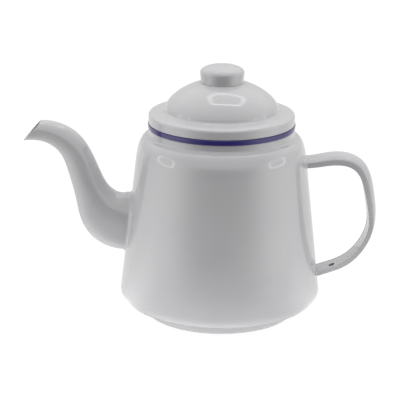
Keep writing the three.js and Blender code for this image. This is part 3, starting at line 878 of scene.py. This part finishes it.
def lampFrame(tree, across, up, frame):
    # 1 on the border of a rounded rectangle: r = ((u / half)^4 + (v / half)^4)^(1/4) between 1 - edge and 1,
    # times a strength that changes from its lower side upwards
    total = 0.0
    for value, centre, half in zip((across, up), frame["centre"], frame["half"]):
        share = addNode(tree, "Math", {"operation": "SUBTRACT"}, i0=value, i1=centre)
        share = addNode(tree, "Math", {"operation": "DIVIDE"}, i0=share, i1=half)
        share = addNode(tree, "Math", {"operation": "ABSOLUTE"}, i0=share)
        share = addNode(tree, "Math", {"operation": "POWER"}, i0=share, i1=frameSquareness)
        total = addNode(tree, "Math", add, i0=share, i1=total)
    ring = addNode(tree, "Math", {"operation": "POWER"}, i0=total, i1=1 / frameSquareness)
    bottom = frame["centre"][1] - frame["half"][1]
    strength = addNode(tree, "MapRange", smoothStep, Value=up, From_Min=bottom,
                       From_Max=bottom + frame["half"][1] / 2,
                       To_Min=frame["strength"], To_Max=frame["strength"] * frame["farShare"])
    inner = addNode(tree, "MapRange", smoothStep, Value=ring, From_Min=1 - frame["edge"] - frameSoftness,
                    From_Max=1 - frame["edge"])
    outer = addNode(tree, "MapRange", smoothStep, Value=ring, From_Min=1 + frameSoftness, From_Max=1.0)
    border = addNode(tree, "Math", multiply, i0=inner, i1=outer)
    return addNode(tree, "Math", multiply, i0=border, i1=strength)


def makeWorld():
    world = bpy.data.worlds.new("tent")
    bpy.context.scene.world = world
    world.use_nodes = True
    tree = world.node_tree
    tree.nodes.clear()
    direction = addNode(tree, "TexCoord").outputs["Generated"]
    axes = addNode(tree, "SeparateXYZ", Vector=direction).outputs
    height = axes["Z"]
    front = frontAndLength(tree, axes["X"], axes["Y"])[0]
    sine = {name: math.sin(math.radians(studio[name])) for name in (
        "lightFrom", "lightTo", "glossFrom", "glossTo", "openingLow", "openingHigh")}
    # the light: from the dark front over the side lamps to the back, and up to the ceiling
    toFront = addNode(tree, "MapRange", smoothStep, Value=front, From_Min=studio["turnFrom"],
                      From_Max=studio["turnTo"])
    toBack = addNode(tree, "MapRange", smoothStep, Value=front, From_Min=-studio["turnFrom"],
                     From_Max=-studio["turnTo"])
    upwards = addNode(tree, "MapRange", smoothStep, Value=height, From_Min=sine["lightFrom"],
                      From_Max=sine["lightTo"])
    light = addNode(tree, "Mix", i0=toFront, i2=studio["lightSide"], i3=studio["lightFront"])
    light = addNode(tree, "Mix", i0=toBack, i2=light, i3=studio["lightBack"])
    light = addNode(tree, "Mix", i0=upwards, i2=light, i3=studio["lightTop"])
    # what shines sees: the tent and its ceiling, which starts higher at the back, and the opening in front
    opening, around = openingAndTent(tree, front, studio["glossBehind"])
    lowEnough = addNode(tree, "MapRange", smoothStep, Value=height, From_Min=sine["openingHigh"],
                        From_Max=sine["openingLow"])
    opening = addNode(tree, "Math", multiply, i0=opening, i1=lowEnough)
    behind = addNode(tree, "Math", {"operation": "MINIMUM"}, i0=front, i1=0.0)
    lowered = addNode(tree, "Math", multiply, i0=behind, i1=studio["backRise"])
    lowered = addNode(tree, "Math", add, i0=height, i1=lowered)
    ceiling = addNode(tree, "MapRange", smoothStep, Value=lowered, From_Min=sine["glossFrom"],
                      From_Max=sine["glossTo"])
    gloss = addNode(tree, "Mix", i0=ceiling, i2=around, i3=studio["glossTop"])
    gloss = addNode(tree, "Mix", i0=opening, i2=gloss, i3=0.0)
    # and the frames of the lamps
    above = addNode(tree, "Math", {"operation": "GREATER_THAN"}, i0=height, i1=0.0)
    overhead = lampFrame(tree, axes["X"], axes["Y"], lampFrames["overhead"])
    overhead = addNode(tree, "Math", multiply, i0=overhead, i1=above)
    gloss = addNode(tree, "Math", add, i0=gloss, i1=overhead)
    gloss = addNode(tree, "Math", add, i0=gloss, i1=lampFrame(tree, front, height, lampFrames["side"]))
    camera, seen = seenAsBackground(tree)
    strength = addNode(tree, "Mix", i0=seen, i2=light, i3=gloss)
    strength = addNode(tree, "Mix", i0=camera, i2=strength, i3=1.0)
    glow = addNode(tree, "Background", Color=(1, 1, 1, 1), Strength=strength)
    addNode(tree, "OutputWorld", Surface=glow)


# Camera: worked out from the photograph's own outline, for its 400 pixel frame

view = {
    "distance": 1.2, "elevation": 17.015, "roll": 0.536, "focalPixels": 1702.61, "framePixels": 400,
    "targetFromAxis": (-14.566, 0.0, 80.514), "sensorWidth": 36.0, "clip": (0.05, 20.0),
}


def makeCamera():
    data = bpy.data.cameras.new("camera")
    data.sensor_width = view["sensorWidth"]
    data.lens = view["focalPixels"] / view["framePixels"] * view["sensorWidth"]
    data.clip_start, data.clip_end = view["clip"]
    camera = bpy.data.objects.new("camera", data)
    bpy.context.scene.collection.objects.link(camera)
    tilt, roll = math.radians(view["elevation"]), math.radians(view["roll"])
    forward = Vector((0, math.cos(tilt), -math.sin(tilt)))
    right = Vector((1, 0, 0))
    up = Vector((0, math.sin(tilt), math.cos(tilt)))
    turnedRight = right * math.cos(roll) + up * math.sin(roll)
    turnedUp = up * math.cos(roll) - right * math.sin(roll)
    target = Vector(view["targetFromAxis"]) * mm + Vector(potAxis)
    turn = Matrix((turnedRight, turnedUp, -forward)).transposed().to_4x4()
    camera.matrix_world = Matrix.Translation(target - forward * view["distance"]) @ turn
    bpy.context.scene.camera = camera


makeFloor()
makeWorld()
makeCamera()
bpy.context.scene.view_settings.view_transform = "Standard"
print("studio and camera made")
